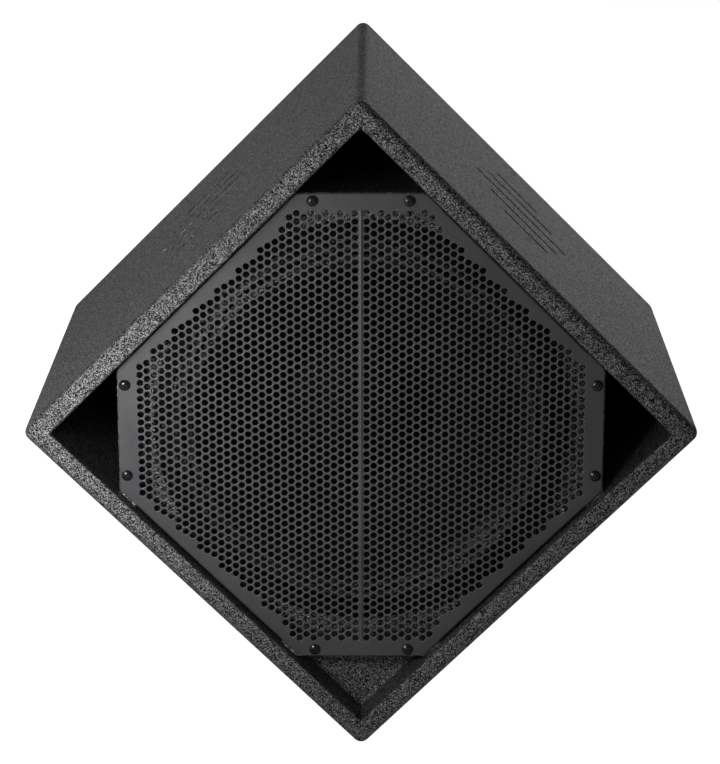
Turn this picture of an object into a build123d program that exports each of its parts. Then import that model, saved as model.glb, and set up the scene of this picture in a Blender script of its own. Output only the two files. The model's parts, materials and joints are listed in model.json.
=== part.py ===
from build123d import *
import math
import os

# Cube-form stage monitor loudspeaker, in millimetres.
# The cabinet frame has its origin at the centre of the front face: +X right, +Y into the depth, +Z up.
# Finished parts are moved so that the origin is under the middle of the cabinet, on the floor.

# ---- driving dimensions: cabinet ----
SIDE = 456.0               # outer width and height
DEPTH = 457.0              # outer depth
WALL = 20.0                # panel thickness: 18 of plywood and 1 of coat on each side
EDGE_R = 9.0               # rounding of every outer edge
MOUTH_R = 2.5              # rounding of the mouth's inner edge
BAFFLE_Y = 43.0            # front of the baffle
BOARD = 15.0               # thickness of the baffle, port boards and grille rail
PORT_END_Y = 300.0         # inner end of the port boards
BRACE_Y = 322.0            # front of the brace board
BRACE_HEIGHT = 90.0
BRACE_HOLE_R = 21.0
BRACE_HOLE_PITCH = 110.0
JOINT_GAP = 0.4            # play between the grille's short edge and a port board's outer face
SLOT_LENGTHS = (62.0, 96.0, 130.0, 96.0, 62.0)   # engraved motif, front to rear
SLOT_WIDTH = 7.0
SLOT_DEPTH = 2.6
SLOT_PITCH = 42.0
MOTIF_Y = 235.0            # middle slot of the motif
WADDING_THICK = 18.0
WADDING_HALF = 92.0
WADDING_GAP = 0.6          # air behind each sheet
WADDING_CLEAR = 14.0       # from the baffle, past the ends of the driver bolts
REAR_WADDING = ((-170.0, 170.0), (-60.0, 190.0))

# ---- driving dimensions: grille ----
GRILLE_Y = 12.9            # front of the grille sheet
SHEET = 1.5                # grille sheet thickness
GRILLE_SHORT = 230.6       # centre to each short edge, which faces a corner of the cabinet
GRILLE_LONG = 206.0        # centre to each long edge, beside a wall of the cabinet
GRILLE_CORNER_R = 9.0
FLANGE_DEPTH = 12.0        # long edges are bent back this far
FLANGE_LENGTH = 196.0
BEND_R = 2.2
HOLE_R = 3.25
ROW_PITCH = 7.84           # hole spacing along a column
COLUMN_PITCH = ROW_PITCH * math.sqrt(3) / 2
FIRST_COLUMN = 5.35        # centre line to the first column of holes
COLUMNS = 31               # on each side of the rib
TOP_ROW = 27               # highest row, counted in pitches
FULL_COLUMNS = 10          # columns beside the rib that reach the top row
STAIR_SLOPE = 2.5 * ROW_PITCH / (3 * COLUMN_PITCH)
STAIR_LIMIT = 267.5        # rows end where height + slope * offset passes this
RIB_WIDTH = 3.6
RIB_HEIGHT = 0.8
SCREW_OFFSET = 45.0        # grille screw from the middle of its short edge
SCREW_RADIUS = 223.5       # centre to the row of grille screws
GRILLE_PILOT_R = 2.15
GRILLE_PILOT_DEPTH = 21.2

# ---- driving dimensions: driver ----
RIM_R = 198.7
RIM_Y = 36.5               # front of the basket's rim
RIM_THICK = 4.5
SEAL_THICK = 2.0
DRIVER_HOLE_R = 178.6      # hole in the baffle
BOLT_CIRCLE_R = 190.5
BOLT_COUNT = 8
LIP_R = 183.4              # outer edge of the surround's lip
ROLL_OUT_R = 180.0         # outer foot of the outer roll
ROLL_MID_R = 169.3         # valley between the two rolls
ROLL_IN_R = 158.9          # inner foot of the inner roll
ROLL_HEIGHT = 5.0
SKIN = 0.8                 # surround thickness
CONE_EDGE_R = 158.0
CONE_BEND_R = 152.0
CONE_MID = (104.0, 68.0)   # radius and depth on the cone's front
CONE_NECK_Y = 106.0
PAPER = 1.2
CAP_R = 72.0
CAP_APEX_Y = 64.0
FORMER_R = 50.5            # outer radius of the coil former
FORMER_THICK = 0.5
FORMER_END_Y = 156.0
COIL_THICK = 1.5
COIL_Y = (134.0, 154.0)
POLE_R = 49.0
GAP_R = 53.0               # bore of the top plate
TOP_PLATE_Y = (139.0, 149.0)
MAGNET_Y = (149.0, 171.0)
MAGNET_R = (60.0, 100.0)
YOKE_END_Y = 181.0
YOKE_R = 97.0
POLE_FRONT_Y = 137.0
VENT_R = 14.0
SPIDER_Y = 119.6
SPIDER_OUT_R = 100.0
SPIDER_WAVES = 4
SPIDER_AMPLITUDE = 2.4
SPIDER_THICK = 0.7

# ---- driving dimensions: rear connections ----
PLATE_Z = -110.0           # centre of the connection plate
PLATE_SIZE = (150.0, 90.0)
PLATE_THICK = 2.5
PLATE_RECESS = 7.0
PLATE_CORNER_R = 5.0
PLATE_PLAY = 0.75          # gap round the plate in its recess
PLATE_SEAL = 1.0
CUTOUT_SIZE = (118.0, 58.0)
SOCKET_X = 30.0
SOCKET_R = 12.0
SOCKET_BORE_R = 11.0
SOCKET_CORE_R = 5.2
SOCKET_DEPTH = 20.0
SOCKET_FLANGE = (26.0, 31.0, 1.8)
WIRE_R = 1.6

# ---- driving dimensions: feet ----
FOOT_HEIGHT = 8.0
FOOT_R = 19.0
FOOT_X = 175.0
FOOT_INSET = 70.0          # foot centre from the front and from the rear

RIM_IN_R = 176.0           # inner edge of the basket's rim
BASKET_FOOT_R = 112.0
BASKET_SCREW_R = 74.0
BASKET_SCREWS = 6
BASKET_FLOOR = 6.0         # thickness of the basket behind the spider
WINDOWS = 8                # openings round the basket
WINDOW_DEG = 31.0
CAP_HEIGHT = 25.5
SCREW_HOLE_R = 2.4
TAB_X = 8.0                # driver tabs, either side of the middle
TAB_Y = 129.5
LUG_X = 5.0                # socket lugs, either side of the socket's middle
LUG_LENGTH = 12.0
WIRE_Z = -152.0            # height of the speaker wires below the driver

INNER = SIDE - 2 * WALL
HALF = SIDE / 2
INNER_HALF = INNER / 2
BOARD_OUT = GRILLE_SHORT + JOINT_GAP          # centre to a port board's outer face
BOARD_IN = BOARD_OUT - BOARD
GRILLE_BACK_Y = GRILLE_Y + SHEET
REAR_INNER_Y = DEPTH - WALL
FINISH = Location((0, -DEPTH / 2, FOOT_HEIGHT + HALF))
DIAGONAL = Rot(Y=-45)                        # stands a shape's X axis along the cabinet's diagonal
PORT_CORNERS = {"upper_right": 45.0, "upper_left": 135.0, "lower_left": 225.0}
CLOSED_CORNER = 315.0

os.makedirs("parts", exist_ok=True)


# ---- helpers ----
def save(name, shape):
    export_step(FINISH * shape, f"parts/{name}.step")


def box(x, y, z):
    """A box between the given low and high limits of each axis."""
    middle = ((x[0] + x[1]) / 2, (y[0] + y[1]) / 2, (z[0] + z[1]) / 2)
    return Pos(*middle) * Box(x[1] - x[0], y[1] - y[0], z[1] - z[0])


def rod(radius, y, x=0.0, z=0.0):
    """A cylinder along Y between two depths."""
    return Pos(x, (y[0] + y[1]) / 2, z) * Rot(X=90) * Cylinder(radius, y[1] - y[0])


def ring(inner, outer, y, x=0.0, z=0.0):
    return rod(outer, y, x, z) - rod(inner, (y[0] - 1, y[1] + 1), x, z)


def turned(outline):
    """A solid of revolution about Y; the outline's x is the radius and its y the depth."""
    return revolve(make_face(outline), axis=Axis.Y)


def turned_points(points):
    return turned(Polyline(*points, close=True))


def around(count, radius, start_deg=0.0):
    """Points in the XZ plane, evenly spaced on a circle."""
    for step in range(count):
        angle = math.radians(start_deg + 360.0 * step / count)
        yield radius * math.cos(angle), radius * math.sin(angle)


def toward_corner(angle_deg, shape):
    """Turns a shape made toward +X so that it faces the given direction in the XZ plane."""
    return Rot(Y=-angle_deg) * shape


def group(solids):
    return Compound(children=list(solids))


# ---- cabinet ----
def cabinet_shell():
    outer = fillet(box((-HALF, HALF), (0, DEPTH), (-HALF, HALF)).edges(), EDGE_R)
    mouth = box((-INNER_HALF, INNER_HALF), (-1, REAR_INNER_Y), (-INNER_HALF, INNER_HALF))
    shell = outer - mouth
    front_edges = [edge for edge in shell.edges() if abs(edge.center().Y) < 0.01]
    reach = INNER_HALF + 0.01
    mouth_edges = [e for e in front_edges if max(abs(e.center().X), abs(e.center().Z)) < reach]
    return fillet(mouth_edges, MOUTH_R)


def motif_slots():
    """A plain stack of five round-ended slots, cut into the outside of the top panel."""
    slots = []
    for step, length in enumerate(SLOT_LENGTHS):
        y = MOTIF_Y + (step - 2) * SLOT_PITCH
        across = (y - SLOT_WIDTH / 2, y + SLOT_WIDTH / 2)
        bar = box((-length / 2, length / 2), across, (HALF - SLOT_DEPTH, HALF + 1))
        slots.append(fillet(bar.edges().filter_by(Axis.Z), SLOT_WIDTH / 2 - 0.01))
    return slots


def cabinet_panels():
    shell = cabinet_shell()
    wide = (-HALF - 1, HALF + 1)
    deep = (-1, DEPTH + 1)
    between = (-INNER_HALF, INNER_HALF)
    side_out, side_in = HALF + 1, INNER_HALF
    top = shell & box(wide, deep, (side_in, side_out))
    bottom = shell & box(wide, deep, (-side_out, -side_in))
    left = shell & box((-side_out, -side_in), deep, between)
    right = shell & box((side_in, side_out), deep, between)
    rear = shell & box(between, (REAR_INNER_Y, DEPTH + 1), between)
    for slot in motif_slots():
        top -= slot
        left -= Rot(Y=-90) * slot
    for x, y in foot_places():
        bottom -= Pos(x, y, -HALF + 6) * Cylinder(2.25, 13)
    save("top_panel", top)
    save("bottom_panel", bottom)
    save("left_panel", left)
    save("right_panel", right)
    save("rear_panel", rear - rear_cuts())


def rear_cuts():
    recess = [size / 2 + PLATE_PLAY for size in PLATE_SIZE]
    cutout = [size / 2 for size in CUTOUT_SIZE]
    seat_z = (PLATE_Z - recess[1], PLATE_Z + recess[1])
    cuts = box((-recess[0], recess[0]), (DEPTH - PLATE_RECESS, DEPTH + 1), seat_z)
    cuts = fillet(cuts.edges().filter_by(Axis.Y), PLATE_CORNER_R)
    through_z = (PLATE_Z - cutout[1], PLATE_Z + cutout[1])
    cuts += box((-cutout[0], cutout[0]), (REAR_INNER_Y - 1, DEPTH), through_z)
    for x, z in plate_screw_places():
        cuts += rod(2.05, (DEPTH - PLATE_RECESS - 9.6, DEPTH), x, z)
    return cuts


def corner_slab(angle_deg, y):
    """A diagonal board across one inner corner, mitred to meet both walls."""
    slab = box((BOARD_IN, BOARD_OUT), y, (-SIDE, SIDE))
    cavity = box((-INNER_HALF, INNER_HALF), (0, REAR_INNER_Y), (-INNER_HALF, INNER_HALF))
    board = toward_corner(angle_deg, slab) & cavity
    for side in (-1, 1):
        pilot = rod(GRILLE_PILOT_R, (y[0] - 1, y[0] + GRILLE_PILOT_DEPTH), SCREW_RADIUS, side * SCREW_OFFSET)
        board -= toward_corner(angle_deg, pilot)
    return board


def baffle():
    cavity = (-INNER_HALF, INNER_HALF)
    panel = box(cavity, (BAFFLE_Y, BAFFLE_Y + BOARD), cavity)
    panel -= rod(DRIVER_HOLE_R, (0, DEPTH))
    for angle in PORT_CORNERS.values():
        corner = box((BOARD_IN, SIDE), (0, DEPTH), (-SIDE, SIDE))
        panel -= toward_corner(angle, corner)
    for x, z in around(BOLT_COUNT, BOLT_CIRCLE_R):
        panel -= rod(4.05, (0, DEPTH), x, z)
    return panel


def baffle_and_boards():
    save("baffle", baffle())
    for corner, angle in PORT_CORNERS.items():
        save(f"port_board_{corner}", corner_slab(angle, (GRILLE_BACK_Y, PORT_END_Y)))
    save("grille_rail", corner_slab(CLOSED_CORNER, (GRILLE_BACK_Y, BAFFLE_Y)))
    width, height = (-INNER_HALF, INNER_HALF), (-BRACE_HEIGHT / 2, BRACE_HEIGHT / 2)
    brace = box(width, (BRACE_Y, BRACE_Y + BOARD), height)
    for step in (-1, 0, 1):
        brace -= rod(BRACE_HOLE_R, (BRACE_Y - 1, BRACE_Y + BOARD + 1), step * BRACE_HOLE_PITCH)
    save("brace_board", brace)


def wadding():
    outer = INNER_HALF - WADDING_GAP
    depth = (BAFFLE_Y + BOARD + WADDING_CLEAR, BRACE_Y - WADDING_CLEAR)
    sheet = box((-WADDING_HALF, WADDING_HALF), depth, (outer - WADDING_THICK, outer))
    sheet = fillet(sheet.edges().filter_by(Axis.Z), 8)
    for name, angle in {"right": 90, "top": 0, "left": -90, "bottom": 180}.items():
        save(f"wadding_{name}", Rot(Y=angle) * sheet)
    outer = REAR_INNER_Y - WADDING_GAP
    rear = box(REAR_WADDING[0], (outer - WADDING_THICK, outer), REAR_WADDING[1])
    save("wadding_rear", fillet(rear.edges().filter_by(Axis.Y), 12))


# ---- grille ----
def octagon(short, long, corner_r):
    """Octagon with short edges facing +-X and +-Y, and long edges at 45 degrees."""
    end = long * math.sqrt(2) - short
    corners = [(short, end), (end, short), (-end, short), (-short, end)]
    corners += [(-x, -z) for x, z in corners]
    face = make_face(Polyline(*corners, close=True))
    return fillet(face.vertices(), corner_r)


def hole_places():
    for column in range(COLUMNS):
        offset = FIRST_COLUMN + column * COLUMN_PITCH
        shift = 0.5 * (column % 2)
        for row in range(-TOP_ROW, TOP_ROW + 1):
            height = (row + shift) * ROW_PITCH
            inside = abs(height) < (TOP_ROW + 0.1) * ROW_PITCH
            in_stairs = abs(height) + STAIR_SLOPE * offset <= STAIR_LIMIT
            if inside and (column < FULL_COLUMNS or in_stairs):
                yield offset, height
                yield -offset, height


def grille_screw_places():
    for x, z in ((SCREW_RADIUS, SCREW_OFFSET), (SCREW_OFFSET, SCREW_RADIUS)):
        for side_x in (-1, 1):
            for side_z in (-1, 1):
                yield side_x * x, side_z * z


def grille_sheet():
    """The flat sheet with its holes, drawn in XY and then stood upright and turned onto its corner."""
    outline = octagon(GRILLE_SHORT, GRILLE_LONG, GRILLE_CORNER_R).face().outer_wire()
    holes = [Pos(x, z) * Wire.make_circle(HOLE_R) for x, z in hole_places()]
    holes += [Pos(x, z) * Wire.make_circle(SCREW_HOLE_R) for x, z in grille_screw_places()]
    sheet = Solid.extrude(Face(outline, holes), Vector(0, 0, SHEET))
    return DIAGONAL * Pos(0, GRILLE_BACK_Y, 0) * Rot(X=90) * sheet


def bent_edge():
    """One long edge of the sheet, bent back, at the +X side."""
    inner_r = BEND_R - SHEET
    x, y = GRILLE_LONG - BEND_R, GRILLE_Y + BEND_R
    end = GRILLE_Y + FLANGE_DEPTH
    slant = math.sqrt(0.5)
    inside = GRILLE_LONG - SHEET
    outline = [
        ThreePointArc((x, GRILLE_Y), (x + BEND_R * slant, y - BEND_R * slant), (GRILLE_LONG, y)),
        Polyline((GRILLE_LONG, y), (GRILLE_LONG, end), (inside, end), (inside, y)),
        ThreePointArc((inside, y), (x + inner_r * slant, y - inner_r * slant), (x, GRILLE_BACK_Y)),
        Line((x, GRILLE_BACK_Y), (x, GRILLE_Y)),
    ]
    return Pos(0, 0, -FLANGE_LENGTH / 2) * extrude(make_face(outline), FLANGE_LENGTH, dir=(0, 0, 1))


def grille_rib():
    """Shallow rounded rib down the solid strip between the two halves of the hole pattern."""
    half, length, sunk = RIB_WIDTH / 2, TOP_ROW * ROW_PITCH + 3, GRILLE_Y + 0.4
    outline = [
        ThreePointArc((-half, GRILLE_Y), (0, GRILLE_Y - RIB_HEIGHT), (half, GRILLE_Y)),
        Polyline((half, GRILLE_Y), (half, sunk), (-half, sunk), (-half, GRILLE_Y)),
    ]
    return DIAGONAL * Pos(0, 0, -length) * extrude(make_face(outline), 2 * length, dir=(0, 0, 1))


def grille():
    sheet = grille_sheet()
    bend = bent_edge()
    clearance = box((GRILLE_LONG - BEND_R, GRILLE_LONG + 1), (GRILLE_Y - 1, GRILLE_BACK_Y + 1),
                    (-FLANGE_LENGTH / 2, FLANGE_LENGTH / 2))
    turns = [Rot(Y=angle) for angle in (0, 90, 180, 270)]
    sheet = sheet.cut(*[(turn * clearance).solid() for turn in turns])
    return sheet.fuse(*[(turn * bend).solid() for turn in turns], grille_rib().solid())


# ---- fasteners: each one points into the depth, with the underside of its head at y = 0 ----
def pan_screw(head_r, head_height, shank_r, length, recess):
    """A domed head with a cross recess on a pointed shank."""
    shoulder = -head_height * 0.35
    dome = [
        ThreePointArc((0, -head_height), (head_r * 0.62, -head_height * 0.86), (head_r, shoulder)),
        Polyline((head_r, shoulder), (head_r, 0), (shank_r, 0), (shank_r, length - shank_r),
                 (0, length), (0, -head_height)),
    ]
    screw = turned(dome)
    slot = recess * 0.26
    for width, long in ((slot, recess), (recess, slot)):
        screw -= box((-width / 2, width / 2), (-head_height - 1, shoulder), (-long / 2, long / 2))
    return screw


def cap_bolt(head_r, head_height, shank_r, length, key):
    bolt = rod(head_r, (-head_height, 0)) + rod(shank_r, (-0.5, length))
    bolt = chamfer([e for e in bolt.edges() if abs(e.center().Y + head_height) < 0.01], 0.5)
    socket = extrude(RegularPolygon(key / 2, 6, major_radius=False), head_height * 0.55)
    return bolt - Pos(0, -head_height - 0.01, 0) * Rot(X=-90) * socket


def tee_nut():
    return rod(9.5, (0, 1.5)) + rod(4.0, (-10.0, 0.5)) - rod(3.06, (-11, 2))


def grille_screws():
    screw = pan_screw(5.35, 3.0, 2.1, 22.0, 4.6)
    places = [Rot(Y=-45) * Pos(x, GRILLE_Y, z) for x, z in grille_screw_places()]
    save("grille_screws", group(place * screw for place in places))


# ---- driver ----
def cone_front():
    return ThreePointArc((CONE_BEND_R, RIM_Y), CONE_MID, (FORMER_R, CONE_NECK_Y))


def cone():
    back = [(CONE_BEND_R - 0.4, RIM_Y + PAPER), (CONE_MID[0], CONE_MID[1] + PAPER * 1.2),
            (FORMER_R + PAPER, CONE_NECK_Y + 0.7)]
    collar = CONE_NECK_Y + 6
    return turned([
        Polyline((CONE_EDGE_R, RIM_Y), (CONE_BEND_R, RIM_Y)),
        cone_front(),
        Polyline((FORMER_R, CONE_NECK_Y), (FORMER_R, collar), (FORMER_R + PAPER, collar), back[2]),
        ThreePointArc(back[2], back[1], back[0]),
        Polyline(back[0], (CONE_EDGE_R, RIM_Y + PAPER), (CONE_EDGE_R, RIM_Y)),
    ])


def dust_cap():
    edge_y = CAP_APEX_Y + CAP_HEIGHT
    edge_r = CAP_R + 2.5
    radius = (CAP_R ** 2 + CAP_HEIGHT ** 2) / (2 * CAP_HEIGHT)
    middle_r = edge_r / 2
    drop = radius - math.sqrt(radius ** 2 - middle_r ** 2)
    edge_drop = radius - math.sqrt(radius ** 2 - edge_r ** 2)
    front = [(0, CAP_APEX_Y), (middle_r, CAP_APEX_Y + drop), (edge_r, CAP_APEX_Y + edge_drop)]
    rear = [(r, y + PAPER) for r, y in front]
    shell = turned([
        ThreePointArc(*front),
        Line(front[2], rear[2]),
        ThreePointArc(*reversed(rear)),
        Line(rear[0], front[0]),
    ])
    far = edge_y + 60
    behind_cone = turned([
        cone_front(),
        Polyline((FORMER_R, CONE_NECK_Y), (FORMER_R, far), (CONE_BEND_R, far), (CONE_BEND_R, RIM_Y)),
    ])
    return (shell - behind_cone).solid()


def surround():
    front, back = RIM_Y - SKIN, RIM_Y
    outer_mid = (ROLL_OUT_R + ROLL_MID_R) / 2
    inner_mid = (ROLL_MID_R + ROLL_IN_R) / 2
    crest = front - ROLL_HEIGHT
    inner_lip = CONE_BEND_R + 0.5
    hollows = [
        (ROLL_IN_R + SKIN, inner_mid, ROLL_MID_R - SKIN),
        (ROLL_MID_R + SKIN, outer_mid, ROLL_OUT_R - SKIN),
    ]
    return turned([
        Polyline((LIP_R, back), (LIP_R, front), (ROLL_OUT_R, front)),
        ThreePointArc((ROLL_OUT_R, front), (outer_mid, crest), (ROLL_MID_R, front)),
        ThreePointArc((ROLL_MID_R, front), (inner_mid, crest), (ROLL_IN_R, front)),
        Polyline((ROLL_IN_R, front), (inner_lip, front), (inner_lip, back), (hollows[0][0], back)),
        *[ThreePointArc((start, back), (mid, crest + SKIN), (end, back)) for start, mid, end in hollows],
        Line((hollows[0][2], back), (hollows[1][0], back)),
        Line((hollows[1][2], back), (LIP_R, back)),
    ])


def spider():
    first, last, steps = FORMER_R + 4.0, SPIDER_OUT_R - 9.0, 12 * SPIDER_WAVES
    line = [(FORMER_R, SPIDER_Y)]
    for step in range(steps + 1):
        turn = 2 * math.pi * SPIDER_WAVES * step / steps
        line.append((first + (last - first) * step / steps, SPIDER_Y + SPIDER_AMPLITUDE * math.sin(turn)))
    line.append((SPIDER_OUT_R, SPIDER_Y))
    return turned_points(line + [(r, y + SPIDER_THICK) for r, y in reversed(line)])


def basket():
    ledge_y = SPIDER_Y + SPIDER_THICK
    floor_y = TOP_PLATE_Y[0]
    rim_back = RIM_Y + RIM_THICK
    wall_out, wall_in = RIM_IN_R + 1.5, RIM_IN_R - 4.0
    plate_y = floor_y - BASKET_FLOOR
    body = turned_points([
        (RIM_R, RIM_Y), (RIM_R, rim_back), (wall_out, rim_back), (wall_out, 56.0),
        (BASKET_FOOT_R, 122.0), (BASKET_FOOT_R, floor_y), (56.0, floor_y), (56.0, plate_y),
        (SPIDER_OUT_R - 8.0, plate_y), (SPIDER_OUT_R - 8.0, ledge_y), (SPIDER_OUT_R + 6.0, ledge_y),
        (wall_in, 52.0), (wall_in, rim_back), (RIM_IN_R, RIM_Y),
    ])
    window = Polyline((100, 62), (185, 62), (185, 112), (100, 112), close=True)
    opening = revolve(make_face(window), axis=Axis.Y, revolution_arc=WINDOW_DEG)
    for step in range(WINDOWS):
        body -= Rot(Y=360.0 * step / WINDOWS - WINDOW_DEG / 2) * opening
    for x, z in around(BOLT_COUNT, BOLT_CIRCLE_R):
        body -= rod(3.3, (RIM_Y - 1, RIM_Y + RIM_THICK + 1), x, z)
    for x, z in around(BASKET_SCREWS, BASKET_SCREW_R):
        body -= rod(2.6, (plate_y - 1, floor_y + 1), x, z)
    return body


def driver_gasket():
    gasket = ring(LIP_R + 0.1, RIM_R - 1.2, (RIM_Y - 3.5, RIM_Y))
    for x, z in around(BOLT_COUNT, BOLT_CIRCLE_R):
        gasket -= rod(5.6, (0, 60), x, z)
    return gasket


def driver_seal():
    seal = ring(DRIVER_HOLE_R + 1.5, RIM_R - 1.2, (BAFFLE_Y - SEAL_THICK, BAFFLE_Y))
    for x, z in around(BOLT_COUNT, BOLT_CIRCLE_R):
        seal -= rod(3.3, (0, 60), x, z)
    return seal


def terminal_strip():
    strip = box((-14, 14), (123.5, 135.5), (-133, -106))
    strip = fillet(strip.edges().filter_by(Axis.Y), 2)
    return strip - rod(BASKET_FOOT_R, (100, 150))


def tube(path, radius):
    start = path @ 0
    return sweep(Plane(origin=start, z_dir=path % 0) * Circle(radius), path=path)


def tinsel_leads():
    leads = []
    for x in (-TAB_X, TAB_X):
        points = [(x, 92.6, -74.0), (x, 102.5, -82.0), (x, 104.0, -108.0), (x, 108.0, -129.0)]
        points.append((x, 123.5, -129.0))
        leads.append(tube(FilletPolyline(*points, radius=4.0), 0.9))
    return leads


def driver():
    save("driver_seal", driver_seal())
    save("driver_basket", basket())
    save("driver_gasket", driver_gasket())
    save("surround", surround())
    save("cone", cone())
    save("dust_cap", dust_cap())
    save("coil_former", ring(FORMER_R - FORMER_THICK, FORMER_R, (CONE_NECK_Y - 3, FORMER_END_Y)))
    save("voice_coil", ring(FORMER_R, FORMER_R + COIL_THICK, COIL_Y))
    save("spider", spider())
    top_plate = ring(GAP_R, MAGNET_R[1] - 5, TOP_PLATE_Y)
    for x, z in around(BASKET_SCREWS, BASKET_SCREW_R):
        top_plate -= rod(2.56, (TOP_PLATE_Y[0] - 1, TOP_PLATE_Y[0] + 8.2), x, z)
    save("top_plate", top_plate)
    save("magnet", ring(*MAGNET_R, MAGNET_Y))
    yoke = rod(YOKE_R, (MAGNET_Y[1], YOKE_END_Y)) + rod(POLE_R, (POLE_FRONT_Y, YOKE_END_Y))
    yoke -= rod(VENT_R, (POLE_FRONT_Y - 1, YOKE_END_Y + 1))
    rear_rim = [e for e in yoke.edges() if abs(e.center().Y - YOKE_END_Y) < 0.01 and e.radius > POLE_R]
    save("yoke", chamfer(rear_rim, 1.5))
    seat_y = TOP_PLATE_Y[0] - BASKET_FLOOR
    screw = cap_bolt(4.2, 3.0, 2.5, 13.5, 4.0)
    save("basket_screws", group(Pos(x, seat_y, z) * screw for x, z in around(BASKET_SCREWS, BASKET_SCREW_R)))
    bolt = cap_bolt(5.0, 6.0, 3.0, 30.0, 5.0)
    bolt_places = list(around(BOLT_COUNT, BOLT_CIRCLE_R))
    save("driver_bolts", group(Pos(x, RIM_Y, z) * bolt for x, z in bolt_places))
    save("driver_tee_nuts", group(Pos(x, BAFFLE_Y + BOARD, z) * tee_nut() for x, z in bolt_places))
    save("terminal_strip", terminal_strip())
    tab = box((-3.15, 3.15), (TAB_Y - 0.4, TAB_Y + 0.4), (-145, -133))
    save("terminal_tabs", group(Pos(x, 0, 0) * tab for x in (-TAB_X, TAB_X)))
    save("tinsel_leads", group(tinsel_leads()))


# ---- rear connections ----
def plate_screw_places():
    for side_x in (-1, 1):
        for side_z in (-1, 1):
            yield side_x * (PLATE_SIZE[0] / 2 - 9), PLATE_Z + side_z * (PLATE_SIZE[1] / 2 - 8)


def socket_places():
    return [(-SOCKET_X, PLATE_Z), (SOCKET_X, PLATE_Z)]


def socket_screw_places():
    for x, z in socket_places():
        yield x + 9.5, z + 12.0
        yield x - 9.5, z - 12.0


def plate_blank(y, hole_r):
    half_x, half_z = PLATE_SIZE[0] / 2, PLATE_SIZE[1] / 2
    blank = box((-half_x, half_x), y, (PLATE_Z - half_z, PLATE_Z + half_z))
    blank = fillet(blank.edges().filter_by(Axis.Y), PLATE_CORNER_R)
    for x, z in plate_screw_places():
        blank -= rod(hole_r, (y[0] - 1, y[1] + 1), x, z)
    return blank


def socket(x, z, front_y):
    wide, high, thick = SOCKET_FLANGE
    flange = box((-wide / 2, wide / 2), (front_y - thick, front_y), (-high / 2, high / 2))
    flange = fillet(flange.edges().filter_by(Axis.Y), 3)
    floor_y = front_y - SOCKET_DEPTH + 3
    body = flange + rod(SOCKET_R, (floor_y - 3, front_y - 0.5))
    body -= rod(SOCKET_BORE_R, (floor_y, front_y + 1))
    body += rod(SOCKET_CORE_R, (floor_y - 1, front_y - 1.2))
    return Pos(x, 0, z) * body


def rear_connections():
    recess_y = DEPTH - PLATE_RECESS
    plate_y = recess_y + PLATE_SEAL
    face_y = plate_y + PLATE_THICK
    cutout = [size / 2 for size in CUTOUT_SIZE]
    seal = plate_blank((recess_y, plate_y), 2.6)
    seal -= box((-cutout[0], cutout[0]), (0, DEPTH), (PLATE_Z - cutout[1], PLATE_Z + cutout[1]))
    save("plate_seal", seal)
    plate = plate_blank((plate_y, face_y), 2.4)
    for x, z in socket_places():
        plate -= rod(SOCKET_R + 0.1, (0, DEPTH), x, z)
    for x, z in socket_screw_places():
        plate -= rod(1.52, (0, DEPTH), x, z)
    save("connection_plate", plate)
    plate_screw = Pos(0, face_y, 0) * Rot(Z=180) * pan_screw(4.4, 2.4, 2.0, 12.5, 3.8)
    save("plate_screws", group(Pos(x, 0, z) * plate_screw for x, z in plate_screw_places()))
    front_y = face_y + SOCKET_FLANGE[2]
    for name, (x, z) in zip(("socket_in", "socket_link"), socket_places()):
        body = socket(x, z, front_y)
        for screw_x, screw_z in socket_screw_places():
            body -= rod(1.6, (0, DEPTH), screw_x, screw_z)
        save(name, body)
    small_screw = Pos(0, front_y, 0) * Rot(Z=180) * pan_screw(2.7, 1.4, 1.5, 8.0, 2.4)
    save("socket_screws", group(Pos(x, 0, z) * small_screw for x, z in socket_screw_places()))
    lug_end = front_y - SOCKET_DEPTH
    lug = box((-0.4, 0.4), (lug_end - LUG_LENGTH, lug_end), (-4, 4))
    lug_places = [(x + side * LUG_X, z) for x, z in socket_places() for side in (-1, 1)]
    save("socket_lugs", group(Pos(x, 0, z) * lug for x, z in lug_places))
    wires(lug_places, lug_end - LUG_LENGTH)


def wires(lug_places, lug_y):
    """Link wires join the two sockets; speaker wires run from the link socket to the driver's tabs."""
    in_plus, in_minus, link_plus, link_minus = [x for x, _ in lug_places]
    links = []
    for start, end, offset, depth in ((in_plus, link_plus, 2.9, 10.0), (in_minus, link_minus, 0.6, 17.0)):
        z, back = PLATE_Z + offset, lug_y - depth
        points = [(start, lug_y, z), (start, back, z), (end, back, z), (end, lug_y, z)]
        links.append(tube(FilletPolyline(*points, radius=5.0), 1.0))
    save("link_wires", group(links))
    z = PLATE_Z - 2.2
    ends = {"speaker_wire_plus": (link_plus, -TAB_X), "speaker_wire_minus": (link_minus, TAB_X)}
    for name, (start, tab_x) in ends.items():
        points = [
            (start, lug_y, z), (start, lug_y - 28, z), (start - 4, lug_y - 58, z - 26),
            ((start + tab_x) / 2, 300.0, WIRE_Z + 8), (tab_x, 220.0, WIRE_Z), (tab_x, 165.0, WIRE_Z - 4),
            (tab_x, TAB_Y, WIRE_Z - 6), (tab_x, TAB_Y, -145.0),
        ]
        save(name, tube(FilletPolyline(*points, radius=9.0), WIRE_R))


# ---- feet ----
def foot_places():
    for x in (-FOOT_X, FOOT_X):
        for y in (FOOT_INSET, DEPTH - FOOT_INSET):
            yield x, y


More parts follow.
